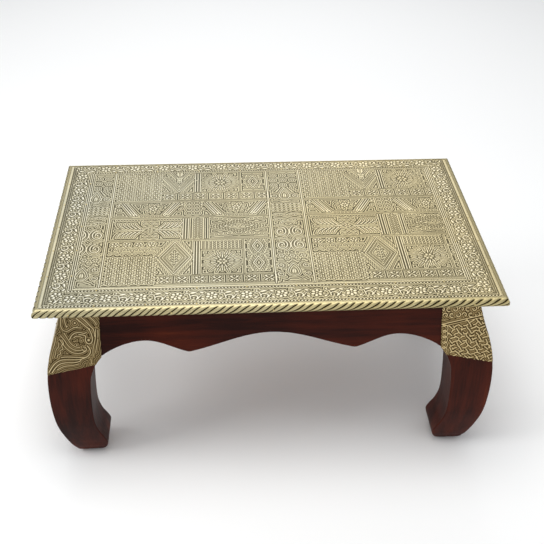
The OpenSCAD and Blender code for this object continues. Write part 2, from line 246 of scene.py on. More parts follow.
def pressDome(relief, x, y, length, width, angle=0.0, height=1.0, narrow=0.0):
    reach = max(length, width) / 2 + relief["cell"]
    found = windowOf(relief, x - reach, x + reach, y - reach, y + reach)
    if found is None:
        return
    place, xs, ys = found
    turn = math.radians(angle)
    along = ((xs - x) * math.cos(turn) + (ys - y) * math.sin(turn)) / (length / 2)
    aside = (ys - y) * math.cos(turn) - (xs - x) * math.sin(turn)
    half = width / 2 * (1 - narrow * along)
    dome = height * np.sqrt(np.clip(1 - along ** 2 - (aside / np.maximum(half, 0.01)) ** 2, 0, 1))
    relief["height"][place] = np.maximum(relief["height"][place], dome)


def pressStroke(relief, points, width, height=1.0, fade=0.0):
    points = np.array(points, dtype=float)
    half = width / 2
    found = windowOf(relief, points[:, 0].min() - half, points[:, 0].max() + half,
                     points[:, 1].min() - half, points[:, 1].max() + half)
    if found is None:
        return
    place, xs, ys = found
    best = np.full((ys.shape[0], xs.shape[1]), 9.0)
    count = len(points) - 1
    for i in range(count):
        start, step = points[i], points[i + 1] - points[i]
        size = max(float(step @ step), 1e-9)
        t = np.clip(((xs - start[0]) * step[0] + (ys - start[1]) * step[1]) / size, 0, 1)
        away = np.hypot(xs - start[0] - t * step[0], ys - start[1] - t * step[1])
        slim = 1 - fade * (i + t) / count
        best = np.minimum(best, away / (half * slim))
    ridge = abs(height) * np.sqrt(np.clip(1 - best ** 2, 0, 1))
    old = relief["height"][place]
    relief["height"][place] = np.maximum(old, ridge) if height > 0 else old * (1 - ridge)


def arcPoints(x, y, r0, r1, a0, a1, count=14, squash=1.0):
    turns = np.radians(np.linspace(a0, a1, count))
    radii = np.linspace(r0, r1, count)
    return [(x + r * math.cos(a), y + squash * r * math.sin(a)) for r, a in zip(radii, turns)]


def pressArc(relief, x, y, radius, a0, a1, width, height=1.0, count=14, squash=1.0):
    pressStroke(relief, arcPoints(x, y, radius, radius, a0, a1, count, squash), width, height)


def pressLine(relief, x0, y0, x1, y1, width, height=1.0):
    pressStroke(relief, [(x0, y0), (x1, y1)], width, height)


def pressFlower(relief, x, y, radius, petals, turn=0.0, height=1.0):
    petalWidth = min(1.125 * math.pi / petals, 0.62) * radius
    for k in range(petals):
        angle = turn + 360 * k / petals
        out = math.radians(angle)
        pressDome(relief, x + 0.6 * radius * math.cos(out), y + 0.6 * radius * math.sin(out),
                  0.8 * radius, petalWidth, angle, height, -0.35)
    pressDome(relief, x, y, 0.36 * radius, 0.36 * radius, 0, height)


def pressRays(relief, x, y, r0, r1, count, width, height=0.9, turn=0.0):
    for k in range(count):
        out = math.radians(turn + 360 * k / count)
        pressLine(relief, x + r0 * math.cos(out), y + r0 * math.sin(out),
                  x + r1 * math.cos(out), y + r1 * math.sin(out), width, height)


def pressDots(relief, points, size, height=0.9):
    for x, y in points:
        pressDome(relief, x, y, size, size, 0, height)


def pressLozenge(relief, x, y, halfX, halfY, width, height=0.9):
    corners = [(x, y - halfY), (x + halfX, y), (x, y + halfY), (x - halfX, y), (x, y - halfY)]
    pressStroke(relief, corners, width, height)


def dottedRun(start, end, pitch):
    count = max(int(math.dist(start, end) / pitch), 1)
    return [tuple(a + (b - a) * i / count for a, b in zip(start, end)) for i in range(count + 1)]


# A row of short slanting beads, read as a thin twisted cord
def pressCord(relief, x0, y0, x1, y1, pitch, size, slant):
    heading = math.degrees(math.atan2(y1 - y0, x1 - x0))
    for x, y in dottedRun((x0, y0), (x1, y1), pitch):
        pressDome(relief, x, y, size, size * 0.5, heading + slant, 0.95)


def smoothed(height, cell, radiusMm):
    rows = np.fft.fftfreq(height.shape[0], cell)[:, None]
    columns = np.fft.rfftfreq(height.shape[1], cell)[None, :]
    spread = np.exp(-2 * (math.pi * radiusMm) ** 2 * (rows ** 2 + columns ** 2))
    return np.fft.irfft2(np.fft.rfft2(height) * spread, s=height.shape)


quarters = [(-1, -1), (-1, 1), (1, -1), (1, 1)]

# Sizes in mm. Leaves are (x, y, length, width, angle, height, how much the tip narrows), and stems are
# runs of points; both are measured from the middle between two flowers
vine = {
    "pitch": 66.8,
    "flower": 12.5,
    "petals": 6,
    "curl": 7.2,
    "leaves": [(-0.5, -6, 5, 4.4, 0, 0.9, 0), (-1, 10.5, 17, 6.4, 14, 1.0, 0.4),
               (14, 11, 12, 5.8, 150, 1.0, 0.4), (-16, -9, 10, 5.6, 30, 1.0, 0.3),
               (17, -10, 10, 5.6, -35, 1.0, 0.3), (-14, 14, 6, 5, 0, 0.95, 0), (2, -16, 8, 3.6, 0, 0.9, 0)],
    "stems": [[(-18.4, 5), (-14.4, 9), (-9, 6), (-8, -1)], [(8, -9), (11, -2), (14, 3), (18, 3)]],
}


# One run of the flower vine along X, centred on y, between x0 and x1
def drawVine(relief, x0, x1, y, first):
    count = int((x1 - first) / vine["pitch"]) + 2
    curl = vine["curl"]
    for k in range(-1, count):
        x = first + k * vine["pitch"]
        pressFlower(relief, x, y, vine["flower"], vine["petals"], 15 + 7 * (k % 3))
        between = x + vine["pitch"] / 2
        pressStroke(relief, arcPoints(between, y - 5, curl, curl, -50, 215), 3.8, 1.0, 0.25)
        for across, up, *leaf in vine["leaves"]:
            pressDome(relief, between + across, y + up, *leaf)
        for stem in vine["stems"]:
            pressStroke(relief, [(between + across, y + up) for across, up in stem], 3.0, 0.9)


weave = {"pitch": 4.8, "row": 8.9, "margin": 4}


# Slanting stitches with knots between them, row under row
def drawWeave(relief, x0, x1, y0, y1):
    rows = math.ceil((y1 - y0 - 7) / weave["row"])
    for row in range(rows):
        y = y1 - 5 - weave["row"] * row
        x = x0 + weave["margin"] + weave["pitch"] * (row % 2)
        column = row
        while x < x1 - 2:
            if column % 2:
                pressDome(relief, x, y, 8.6, 4.2, 90 + 16 * ((row + column) % 3 - 1), 0.95)
            else:
                pressDome(relief, x, y, 6.4, 4.6, 0, 1.0)
            x += 2 * weave["pitch"]
            column += 1


nest = {"shares": [(1.0, 2.6), (0.78, 2.0), (0.56, 2.0)], "leaves": 5, "dotPitch": 7.5, "dot": 3.8}


# Lozenges inside each other round a leafy stem; onlyLower leaves out the upper half
def drawNestedLozenge(relief, x, y, halfX, halfY, onlyLower=False):
    for share, width in nest["shares"]:
        if onlyLower:
            pressStroke(relief, [(x - halfX * share, y), (x, y - halfY * share), (x + halfX * share, y)],
                        width, 0.9)
        else:
            pressLozenge(relief, x, y, halfX * share, halfY * share, width)
    topY = y + (0 if onlyLower else halfY * 0.42)
    pressLine(relief, x, y - halfY * 0.42, x, topY, 2.0)
    lowY = y - halfY * 0.36
    for k in range(nest["leaves"]):
        leafY = lowY + (topY - lowY) * k / nest["leaves"]
        for side in (-1, 1):
            pressDome(relief, x + 4 * side, leafY + 2, 9, 3.2, 90 - 40 * side, 0.95)
    for side, up in quarters:
        if up < 0 or not onlyLower:
            edge = dottedRun((x + side * halfX * 1.06, y + 4 * up), (x + side * 6, y + up * halfY * 1.02),
                             nest["dotPitch"])
            pressDots(relief, [(px + side * 4, py + up * 4) for px, py in edge], nest["dot"])


def drawSunburst(relief, x, y, radius):
    pressFlower(relief, x, y, radius * 0.38, 6, 0, 0.85)
    pressRays(relief, x, y, radius * 0.46, radius * 0.76, 14, 3.4, 0.95, 11)
    pressRays(relief, x, y, radius * 0.84, radius * 1.08, 20, 3.0, 0.95)
    for quarter in (45, 135, 225, 315):
        for fan in (-27, -9, 9, 27):
            out = math.radians(quarter + fan)
            reach = [radius * share for share in (1.05, 1.34)]
            pressStroke(relief, [(x + r * math.cos(out), y + r * math.sin(out)) for r in reach], 2.6, 0.85)


def drawDiamondEye(relief, x, y, halfX, halfY):
    pressLozenge(relief, x, y, halfX, halfY, 3.0)
    pressLozenge(relief, x, y, halfX * 0.62, halfY * 0.62, 2.2)
    pressDome(relief, x, y, halfY * 0.5, halfX * 0.4, 90, 0.8)
    for sx, sy in quarters:
        for wide, high, tip, pitch, dot in ((5, 4, 8, 7.0, 4.0), (10, 14, 18, 7.5, 3.4)):
            start, end = (x + sx * (halfX + wide), y + sy * high), (x + sx * tip, y + sy * (halfY + 2))
            pressDots(relief, dottedRun(start, end, pitch), dot)


def drawCrossBand(relief, x0, x1, y0, y1, pitch=34.0):
    middle = (y0 + y1) / 2
    half = (y1 - y0) / 2
    pressLine(relief, x0, y0, x1, y0, 1.8, 0.8)
    pressLine(relief, x0, y1, x1, y1, 1.8, 0.8)
    x = x0 + pitch / 2
    while x < x1:
        for first, out, petal in ((45, 7.5, (12, 4.4, 1.0, -0.2)), (0, 9, (5, 3.4, 0.9, 0))):
            length, width, height, narrow = petal
            for angle in range(first, 360, 90):
                turn = math.radians(angle)
                pressDome(relief, x + out * math.cos(turn), middle + out * math.sin(turn), length, width,
                          angle, height, narrow)
        pressDome(relief, x, middle, 4, 4, 0, 1.0)
        for offset in (-2.4, 2.4):
            bar = x + pitch / 2 + offset
            pressLine(relief, bar, middle - half * 0.8, bar, middle + half * 0.8, 2.0, 0.9)
        x += pitch


# Long leaves leaning one way, like a half-open fan
def drawFan(relief, x, y, lean, size=29.0):
    for shift, share in ((-5.5, 0.83), (0.0, 0.95), (5.5, 0.83)):
        reach = size * share
        tilt = lean * reach / 2
        pressStroke(relief, [(x + shift + tilt, y - reach), (x + shift - tilt, y + reach)], 4.2, 1.0, 0.5)
    pressStroke(relief, arcPoints(x + lean * 14, y - size + 4, 6, 2.5, -40, 250), 2.6, 0.95)
    pressDome(relief, x - lean * 22, y + 17, 10, 5, 90 - lean * 40, 0.95, 0.3)
    pressDome(relief, x - lean * 20, y - 2, 9, 4.4, 90 + lean * 30, 0.9, 0.3)


def drawThistle(relief, x, y, size):
    pressFlower(relief, x, y, size * 0.62, 7, 12, 1.0)
    for angle in range(25, 385, 40):
        out = math.radians(angle)
        pressDome(relief, x + size * math.cos(out), y + size * math.sin(out), 8, 3.4, angle + 20, 0.9, 0.3)


def drawRosettes(relief, x, y0, y1):
    for y in np.linspace(y0, y1, 4):
        for side in (-8.5, 8.5):
            pressArc(relief, x + side, y, 6.5, 0, 360, 2.2, 0.9, 20)
            pressDome(relief, x + side, y, 4.2, 4.2, 0, 1.0)


def drawLeafStar(relief, x, y):
    for sx, sy in quarters:
        for k in range(5):
            near = 20 + 8.5 * k
            leaf = [(near, 5 + 0.9 * k), (near + 9, 17), (near + 13, 28)]
            pressStroke(relief, [(x + sx * px, y + sy * py) for px, py in leaf], 3.6, 1.0, 0.35)
        for up, width, height in ((20, 2.6, 0.95), (28, 2.4, 0.9)):
            pressArc(relief, x + sx * 9, y + sy * up, 7, 200, 340, width, height, 10, -sy)
    for side in (-1, 1):
        pressStroke(relief, [(x + side * 16, y), (x + side * 40, y), (x + side * 68, y)], 3.8, 1.0, 0.5)
    pressLozenge(relief, x, y, 15, 12, 2.6)
    pressFlower(relief, x, y, 8, 6, 0, 0.85)


def drawLongEye(relief, x, y, halfX, halfY):
    for sx, sy in quarters:
        for share in (1.0, 0.72):
            pressDots(relief, dottedRun((x + sx * halfX * share, y), (x, y + sy * halfY * share), 6.0), 4.2)
    pressLozenge(relief, x, y, halfX * 0.5, halfY * 0.46, 2.2)
    for k in range(-4, 5):
        lean = 1 if k % 2 else -1
        pressDome(relief, x + 9 * k, y + 2.4 * lean, 8, 3.2, 35 * lean, 0.95)
    for sy in (-1, 1):
        for k in range(-6, 7):
            away = halfY - 1 + 1.5 * abs(k)
            pressDome(relief, x + 9.4 * k, y + sy * away, 6, 3.2, 90 + 12 * k * sy, 0.85)


def drawScroll(relief, x, y, radius, side, tall=1.0):
    line = min(3.4, 0.3 * radius)
    pressStroke(relief, arcPoints(x, y, radius, radius * 0.36, 90, 90 + side * 450, 40, tall), line, 1.0)
    pressDome(relief, x, y, radius * 0.4 * tall, radius * 0.4, 90, 1.0)
    pressArc(relief, x, y, radius + 5, 120, 120 + side * 190, line * 0.8, 0.95, 18, tall)


def drawBud(relief, x, y, halfX, halfY):
    side = [(0.7, 0.3), (1.0, -0.35), (0.55, -0.85)]
    outline = [(0, 1), *side, (0, -1), *[(-u, v) for u, v in side[::-1]], (0, 1)]
    pressStroke(relief, [(x + halfX * u, y + halfY * v) for u, v in outline], 2.6, 0.95)
    pressDome(relief, x, y - halfY * 0.2, halfY, halfX * 0.8, 90, 1.0, 0.4)
    pressLine(relief, x, y - halfY * 0.6, x, y + halfY * 0.5, 1.6, -0.7)


# The upright panel between two repeats: flowers, buds, zigzags, arches and big scrolls, from the back
# to the front. Places are shares of its length
column = {
    "edge": 37.5,
    "flowerRows": [(0.045, 6.6, 5, 0), (0.095, 6.6, 5, 20), (0.145, 6.6, 5, 40), (0.79, 7.5, 6, 10)],
    "buds": [(0.235, 12, 25), (0.90, 13, 22)],
    "scrolls": [(0.255, 25, 8, 1, 1.0), (0.585, 18, 12.5, 1, 1.45), (0.70, 18, 12.5, 1, 1.45),
                (0.87, 26, 7.5, 1, 1.0), (0.935, 26, 7.5, -1, 1.0)],
    "zigzags": [0.335, 0.363, 0.391],
    "arches": [0.44, 0.485],
}


def drawColumn(relief, x, y0, y1):
    def placeAt(share):
        return y1 - (y1 - y0) * share

    for side in (-1, 1):
        edge = x + side * column["edge"]
        pressLine(relief, edge, y0, edge, y1, 3.0, 1.0)
        pressDots(relief, dottedRun((x + side * 18, placeAt(0.17)), (x + side * 30, placeAt(0.21)), 6), 4)
        for share, across, radius, wind, tall in column["scrolls"]:
            drawScroll(relief, x + side * across, placeAt(share), radius, side * wind, tall)
        for share in column["arches"]:
            pressArc(relief, x + side * 16, placeAt(share), 12, 20, 160, 2.6, 0.95, 12, 0.6)
            pressDome(relief, x + side * 16, placeAt(share) + 2, 6, 4, 0, 0.95)
    for share, radius, petals, turn in column["flowerRows"]:
        for across in (-22, 0, 22):
            pressFlower(relief, x + across, placeAt(share), radius, petals, turn, 0.95)
    for share, halfX, halfY in column["buds"]:
        drawBud(relief, x, placeAt(share), halfX, halfY)
    for row, share in enumerate(column["zigzags"]):
        for k in range(-3, 4):
            pressDome(relief, x + 9.5 * k, placeAt(share), 11, 4, 45 if (k + row) % 2 else 135, 0.95)
    pressArc(relief, x, placeAt(0.515), 15, 10, 170, 2.8, 1.0, 12, 0.7)
    for across in (-11, 11, 33):
        pressDots(relief, [(x + across, placeAt(0.765)), (x + across, placeAt(0.815))], 4)


# One repeat of the field's panels, in mm: x from the repeat's left edge, y from the table's middle
field = {
    "repeat": 417.0,
    "start": -327.0,
    "wide": 334,
    "rowLines": [(107, 2.0, 0.9), (39, 1.8, 0.7), (-51, 2.0, 0.8)],
    "barWidths": [((176, 181.5, 187), 148, 233, 2.4), ((152, 157.5, 163, 199, 204), -47, 34, 2.2),
                  ((176, 181.5, 187), -177, -58, 2.4)],
    "dividers": [(276, 148, 236), (276, -177, -54)],
    "fans": [(33, 1), (213, 1), (126, -1), (314, -1)],
    "frameInset": 1.6,
    "pressure": 0.92,
}


def drawFieldCell(relief, left):
    right = left + field["wide"]
    for y, width, height in field["rowLines"]:
        pressLine(relief, left, y, right, y, width, height)
    for places, y0, y1, width in field["barWidths"]:
        for u in places:
            pressLine(relief, left + u, y0, left + u, y1, width)
    for u, y0, y1 in field["dividers"]:
        pressLine(relief, left + u, y0, left + u, y1, 2.0, 0.8)
    # back row
    drawWeave(relief, left, left + 103, 109, 238)
    drawNestedLozenge(relief, left + 140, 215, 36, 66, True)
    drawNestedLozenge(relief, left + 140, 236, 20, 36, True)
    drawSunburst(relief, left + 232, 189, 32)
    drawDiamondEye(relief, left + 306, 191, 11, 26)
    drawCrossBand(relief, left + 103, right, 112, 144)
    # fans and flowers
    for u, lean in field["fans"]:
        drawFan(relief, left + u, 76, lean)
    for u in (86, 266):
        drawThistle(relief, left + u, 77, 17)
        pressDots(relief, dottedRun((left + u - 24, 46), (left + u + 24, 46), 8), 4)
    drawRosettes(relief, left + 172, 56, 98)
    # stars and long eyes
    pressDots(relief, dottedRun((left + 12, 31), (left + 158, 31), 6), 4.0)
    drawLeafStar(relief, left + 83, -10)
    for y in np.arange(-44, 34, 7.4):
        pressDots(relief, [(left + 176, y), (left + 183, y + 3.7), (left + 190, y)], 4.6)
    drawLongEye(relief, left + 269, -1, 61, 25)
    # front row
    for k in range(4):
        u = left + 14 + 25 * k
        pressFlower(relief, u, -66, 9, 5, 30 * k)
        pressArc(relief, u, -103, 8, 15, 165, 2.4, 0.9)
        pressArc(relief, u + 12, -88, 9, 15, 165, 2.6, 0.95)
        pressDome(relief, u + 12, -88, 6, 5, 0, 0.9)
    drawWeave(relief, left, left + 103, -210, -110)
    drawNestedLozenge(relief, left + 137, -117, 31, 58)
    for y in np.arange(-84, -54, 7.6):
        for u in np.arange(195, 274, 7.6):
            pressDome(relief, left + u, y, 5.4, 3.0, 90, 0.9)
    pressLine(relief, left + 191, -90, left + 276, -90, 2.0, 0.8)
    drawSunburst(relief, left + 233, -134, 30)
    for y in (-80, -142):
        drawDiamondEye(relief, left + 306, y, 11, 24)
    drawCrossBand(relief, left + 103, right, -209, -181)
    drawColumn(relief, left + 374.5, -214, 236)


def drawField():
    relief = newRelief(fieldLow.x / mm, fieldHigh.x / mm, fieldLow.y / mm, fieldHigh.y / mm)
    left = field["start"] - field["repeat"]
    while left < relief["x1"]:
        drawFieldCell(relief, left)
        left += field["repeat"]
    relief["height"] *= field["pressure"]
    # plain raised frame line round the field
    inset = field["frameInset"]
    x0, x1 = relief["x0"] + inset, relief["x1"] - inset
    y0, y1 = relief["y0"] + inset, relief["y1"] - inset
    pressStroke(relief, [(x0, y0), (x1, y0), (x1, y1), (x0, y1), (x0, y0)], 2.4, 0.9)
    return relief


# Border strips are drawn along X, with y from their outer edge. Lines are (y, width, height) and
# cords are (y, pitch, length of a bead)
borders = {
    "end": {"vine": 31, "lines": [(3.6, 8.0, 0.72), (50.5, 2.4, 0.9), (54.5, 2.4, 0.9)],
            "cords": [(10.0, 4.0, 4.0), (14.0, 4.0, 4.0)]},
    "front": {"vine": 29.5, "lines": [], "cords": [(6.0, 6.5, 7.4), (54.5, 6.5, 6.8)]},
    "back": {"vine": 18, "lines": [(1.6, 1.8, 0.7)], "cords": [(37, 5.6, 5.4)]},
}


def drawBorder(run, width, look, first):
    relief = newRelief(-run / 2, run / 2, 0, width)
    half = run / 2
    for y, wide, height in look["lines"]:
        pressLine(relief, -half, y, half, y, wide, height)
    for y, pitch, size in look["cords"]:
        pressCord(relief, -half, y, half, y, pitch, size, 52)
    drawVine(relief, -half, half, look["vine"], first)
    return relief


def addPiece(name, bm, material, replaced=()):
    mesh = bpy.data.meshes.new(name)
    bm.to_mesh(mesh)
    bm.free()
    piece = bpy.data.objects.new(name, mesh)
    bpy.context.scene.collection.objects.link(piece)
    mesh.materials.append(material)
    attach(piece, "root")
    if replaced:
        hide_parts(*replaced)
    return piece


def vertexPlaces(mesh):
    places = np.empty(len(mesh.vertices) * 3)
    mesh.vertices.foreach_get("co", places)
    return places.reshape(-1, 3)


def setPlaces(piece, places):
    piece.data.vertices.foreach_set("co", places.ravel())
    piece.data.update()


# Turns a place beside the front edge to one of the other edges
def turned(along, out, degrees):
    turn = math.radians(degrees)
    return along * math.cos(turn) - out * math.sin(turn), along * math.sin(turn) + out * math.cos(turn)


# A grid of unit size with its rim turned down, for thin metal
def skirtedGrid(wide, deep):
    bm = bmesh.new()
    bmesh.ops.create_grid(bm, x_segments=wide, y_segments=deep, size=1.0)
    rim = [edge for edge in bm.edges if edge.is_boundary]
    for edge in rim:
        edge.smooth = False
    skirt = bmesh.ops.extrude_edge_only(bm, edges=rim)["geom"]
    for part in skirt:
        if isinstance(part, bmesh.types.BMVert):
            part.co.z = -1.0
    for face in bm.faces:
        face.smooth = True
    return bm, skirt


# Rounds the given edges of a wooden piece and shades the rest by its real corners
def easeArrises(bm, edges, offset):
    bmesh.ops.bevel(bm, geom=edges, offset=offset, affect="EDGES", segments=3, profile=0.5,
                    material=-1, clamp_overlap=True)
    for face in bm.faces:
        face.smooth = True
    for edge in bm.edges:
        if len(edge.link_faces) == 2 and edge.calc_face_angle() > math.radians(50):
            edge.smooth = False


def keepFlatFaces(piece):
    weighted = piece.modifiers.new("flat faces", "WEIGHTED_NORMAL")
    weighted.keep_sharp = True


# How far each vertex stands out of its surroundings: this carries the patina and the polish, and on the
# rope also painted shade on its lower half
def setPatinaAndShade(piece, values):
    layer = piece.data.attributes.new("relief", "FLOAT", "POINT")
    layer.data.foreach_set("value", np.clip(values, 0, 1).astype(np.float32))


def sampled(grid, relief, xs, ys):
    column = np.clip((xs - relief["x0"]) / relief["cell"], 0, grid.shape[1] - 1.001)
    row = np.clip((ys - relief["y0"]) / relief["cell"], 0, grid.shape[0] - 1.001)
    i, j = column.astype(int), row.astype(int)
    u, v = column - i, row - j
    return (grid[j, i] * (1 - u) * (1 - v) + grid[j, i + 1] * u * (1 - v)
            + grid[j + 1, i] * (1 - u) * v + grid[j + 1, i + 1] * u * v)


# How far each cell lies from the nearest raised work, in mm, up to a limit
def awayFromWork(relief, limitMm):
    reached = relief["height"] > 0.3
    away = np.zeros(reached.shape)
    for step in range(int(limitMm / relief["cell"])):
        away += ~reached
        grown = reached.copy()
        grown[1:] |= reached[:-1]
        grown[:-1] |= reached[1:]
        sides = grown if step % 2 else reached
        wider = grown.copy()
        wider[:, 1:] |= sides[:, :-1]
        wider[:, :-1] |= sides[:, 1:]
        reached = wider
    return away * relief["cell"]


ground = {"pitchMm": 4.4, "moatMm": 0.5, "reachMm": 16.0, "lineHeight": 0.72}


# The bare ground is chased with fine lines that follow the edges of the motifs.
# Gives the softened heights for the metal, and the patina that stays in its hollows
def pressedSheet(relief, soften=0.4, pitch=ground["pitchMm"]):
    cell = relief["cell"]
    away = awayFromWork(relief, ground["reachMm"])
    moat = ground["moatMm"]
    wave = 0.5 - 0.5 * np.cos(2 * math.pi * (away - moat) / pitch)
    chased = ground["lineHeight"] * wave * (away > moat)
    height = np.clip(smoothed(np.maximum(relief["height"], chased), cell, soften), 0, 1)
    around = smoothed(height, cell, 2.4)
    patina = 0.20 + 0.62 * height + 0.75 * (height - around)
    return height, patina


sheet = {"stepMm": 0.95, "ground": 0.12}


# A flat sheet between two straight long edges; each end is given in mm as (x at y0, x at y1)
def sheetPiece(name, relief, pressed, left, right, y0, y1, turnDegrees, outerY, replaced):
    height, patina = pressed
    wide = max(int(round((max(right) - min(left)) / sheet["stepMm"])), 2)
    deep = max(int(round((y1 - y0) / sheet["stepMm"])), 2)
    bm, skirt = skirtedGrid(wide, deep)
    underEdges = [part for part in skirt if isinstance(part, bmesh.types.BMEdge) and part.is_boundary]
    bmesh.ops.contextual_create(bm, geom=underEdges)
    for face in bm.faces:
        face.smooth = len(face.verts) == 4
    bmesh.ops.recalc_face_normals(bm, faces=bm.faces)
    piece = addPiece(name, bm, topBrass, replaced)
    places = vertexPlaces(piece.data)
    s, t = (places[:, 0] + 1) / 2, (places[:, 1] + 1) / 2
    xLeft = left[0] + (left[1] - left[0]) * t
    xRight = right[0] + (right[1] - right[0]) * t
    xs = xLeft + (xRight - xLeft) * s
    ys = y0 + (y1 - y0) * t
    up = sampled(height, relief, xs, ys)
    depth = (topZ - boardTopZ) * (sheet["ground"] + (1 - sheet["ground"]) * up)
    depth[places[:, 2] < -0.5] = 0
    x, y = turned(xs * mm, outerY + ys * mm, turnDegrees)
    setPlaces(piece, np.column_stack([x, y, boardTopZ + depth]))
    setPatinaAndShade(piece, sampled(patina, relief, xs, ys))


def makeTop():
    relief = drawField()
    pressed = pressedSheet(relief)
    xs = np.linspace(relief["x0"], relief["x1"], 4)
    ys = np.linspace(relief["y0"], relief["y1"], 3)
    for i in range(3):
        for j in range(2):
            left, right = (xs[i], xs[i]), (xs[i + 1], xs[i + 1])
            sheetPiece("fieldSheet" + str(1 + i + 3 * j), relief, pressed, left, right,
                       ys[j], ys[j + 1], 0, 0.0, ["field_sheet"])
    print("field drawn")
    runs = {
        "front": (flatHalfX, -flatHalfY, fieldLow.y, fieldHigh.x, fieldHigh.x, 0, -382.6),
        "back": (flatHalfX, -flatHalfY, -fieldHigh.y, fieldHigh.x, fieldHigh.x, 180, -376.0),
        "left": (flatHalfY, -flatHalfX, fieldLow.x, fieldHigh.y, -fieldLow.y, -90, -228.0),
        "right": (flatHalfY, -flatHalfX, fieldLow.x, -fieldLow.y, fieldHigh.y, 90, -236.0),
    }
    for name, (half, outer, inner, endLow, endHigh, turn, first) in runs.items():
        width = (inner - outer) / mm
        border = drawBorder(2 * half / mm, width, borders.get(name, borders["end"]), first)
        sheetPiece("borderSheet" + name.capitalize(), border, pressedSheet(border),
                   (-half / mm, -endLow / mm), (half / mm, endHigh / mm), 0, width, turn, outer,
                   ["border_" + name + "_strip"])
    print("borders drawn")


rope = {
    "pitchMm": 15.2,
    "stretch": 0.11,
    "slant": 1.35,
    "slantGain": 0.8,
    "grooveMm": 1.05,
    "depthMm": 1.7,
    "crownMm": 0.55,
    "wallMm": 1.2,
    "fadeTop": 1.25,
    "stepMm": 1.0,
    "around": 28,
    "core": 0.0062,
}
edges = {"Front": (tableHalfX, 0, 0.4), "Back": (tableHalfX, 180, 1.7),
         "Left": (tableHalfY, -90, 2.9), "Right": (tableHalfY, 90, 4.2)}


def flatHalfAt(degrees):
    return flatHalfY if abs(degrees) in (0, 180) else flatHalfX


# A half-round strip pressed to look like a twisted rope; drawn along X on the front edge.
# The grooves slant more and lie wider apart towards one end, and fade near the top
def ropePiece(name, half, turnDegrees, seed):
    run = 2 * half / mm
    radius = edgeRadius / mm
    bm = skirtedGrid(int(run / rope["stepMm"]), rope["around"])[0]
    piece = addPiece(name, bm, ropeBrass, ["rope_" + name[4:].lower()])
    places = vertexPlaces(piece.data)
    inside = places[:, 2] < -0.5
    angle = places[:, 1] * math.pi / 2
    along = places[:, 0] * run / 2
    wobble = (1.3 * np.sin(along * 0.031 + seed) + 0.9 * np.sin(along * 0.083 + 2.1 * seed)
              + 0.5 * np.sin(along * 0.21 + seed))
    spun = along - rope["stretch"] * along ** 2 / run
    slant = rope["slant"] + rope["slantGain"] * along / run
    phase = (spun - slant * angle * radius + wobble) / rope["pitchMm"]
    spacing = rope["pitchMm"] / np.hypot(1, slant)
    nearest = np.abs(phase - np.round(phase)) * spacing
    fading = np.clip((rope["fadeTop"] - angle) / 0.45, 0, 1) * np.clip(np.cos(angle) * 2, 0, 1)
    groove = np.exp(-(nearest / rope["grooveMm"]) ** 2) * fading
    hollow = (1 - np.clip(2 * nearest / spacing, 0, 1) ** 0.6) * fading
    cut = rope["depthMm"] * groove + rope["crownMm"] * hollow
    edgeEase = np.clip((math.pi / 2 - np.abs(angle)) * radius / 2.0, 0, 1)
    reach = np.where(inside, radius - rope["wallMm"], radius - cut * edgeEase)
    out = reach * np.cos(angle)
    xs = places[:, 0] * (half / mm - radius + out)
    x, y = turned(xs * mm, -flatHalfAt(turnDegrees) - out * mm, turnDegrees)
    setPlaces(piece, np.column_stack([x, y, topZ - edgeRadius + reach * np.sin(angle) * mm]))
    # patina darkens the grooves and the hollows between strands; painted shade darkens the rope below its
    # middle, more towards the bottom
    patinaAndPaintedShade = 0.83 - 1.05 * groove - 0.16 * hollow - 0.16 * np.clip(-angle, 0, 1)
    setPatinaAndShade(piece, np.where(inside, 0.2, patinaAndPaintedShade))


# The rounded wooden lipping, pared down so that the pressed brass clears it
def lippingPiece(name, half, turnDegrees):
    bm = bmesh.new()
    bmesh.ops.create_grid(bm, x_segments=1, y_segments=16, size=1.0)
    bmesh.ops.contextual_create(bm, geom=[edge for edge in bm.edges if edge.is_boundary])
    for vert in bm.verts:
        angle = vert.co.y * math.pi / 2
        out = rope["core"] * math.cos(angle)
        along = vert.co.x * (half - edgeRadius + out)
        x, y = turned(along, -flatHalfAt(turnDegrees) - out, turnDegrees)
        vert.co = (x, y, topZ - edgeRadius + rope["core"] * math.sin(angle))
    bmesh.ops.recalc_face_normals(bm, faces=bm.faces)
    addPiece(name, bm, bareLong, ["lipping_" + name[7:].lower()])


makeTop()
for side, (half, turn, seed) in edges.items():
    lippingPiece("lipping" + side, half, turn)
for side, (half, turn, seed) in edges.items():
    ropePiece("rope" + side, half, turn, seed)
print("rope edges made")


def solidTree(name):
    source = nodes[name]
    verts = [source.matrix_world @ vert.co for vert in source.data.vertices]
    faces = [tuple(face.vertices) for face in source.data.polygons]
    return BVHTree.FromPolygons(verts, faces)


# A line through the leg that misses its mortises, peg holes and pin holes
probeInset = 0.066
legTree = solidTree("leg_front_left")
probeY = -tableHalfY + probeInset
footLevels = [0.0004, 0.001, 0.002, 0.0035, 0.0055, 0.008]
levels = np.array(footLevels + list(np.linspace(0.011, boardUnderZ - 0.0005, 96)))


def probed(side):
    startX = -tableHalfX + (-0.1 if side < 0 else 0.3)
    hits = [legTree.ray_cast(Vector((startX, probeY, z)), Vector((-side, 0, 0)))[0] for z in levels]
    return np.array([hit.x + tableHalfX for hit in hits])


def eased(values, places, radius):
    weights = np.exp(-((places[:, None] - places[None, :]) / radius) ** 2)
    return (weights * values[None, :]).sum(axis=1) / weights.sum(axis=1)


rawOuter = probed(-1)
rawInner = probed(1)
outerInset = eased(rawOuter, levels, 0.007)
innerInset = np.where(levels < 0.2, rawInner, eased(rawInner, levels, 0.003))
outerInset[levels < 0.012] = rawOuter[levels < 0.012]


def outerAt(z):
    return np.interp(z, levels, outerInset)


def innerAt(z):
    return np.interp(z, levels, innerInset)


corners = {"FrontLeft": (-1, -1), "FrontRight": (1, -1), "BackLeft": (-1, 1), "BackRight": (1, 1)}
leg = {"arris": 0.0024}


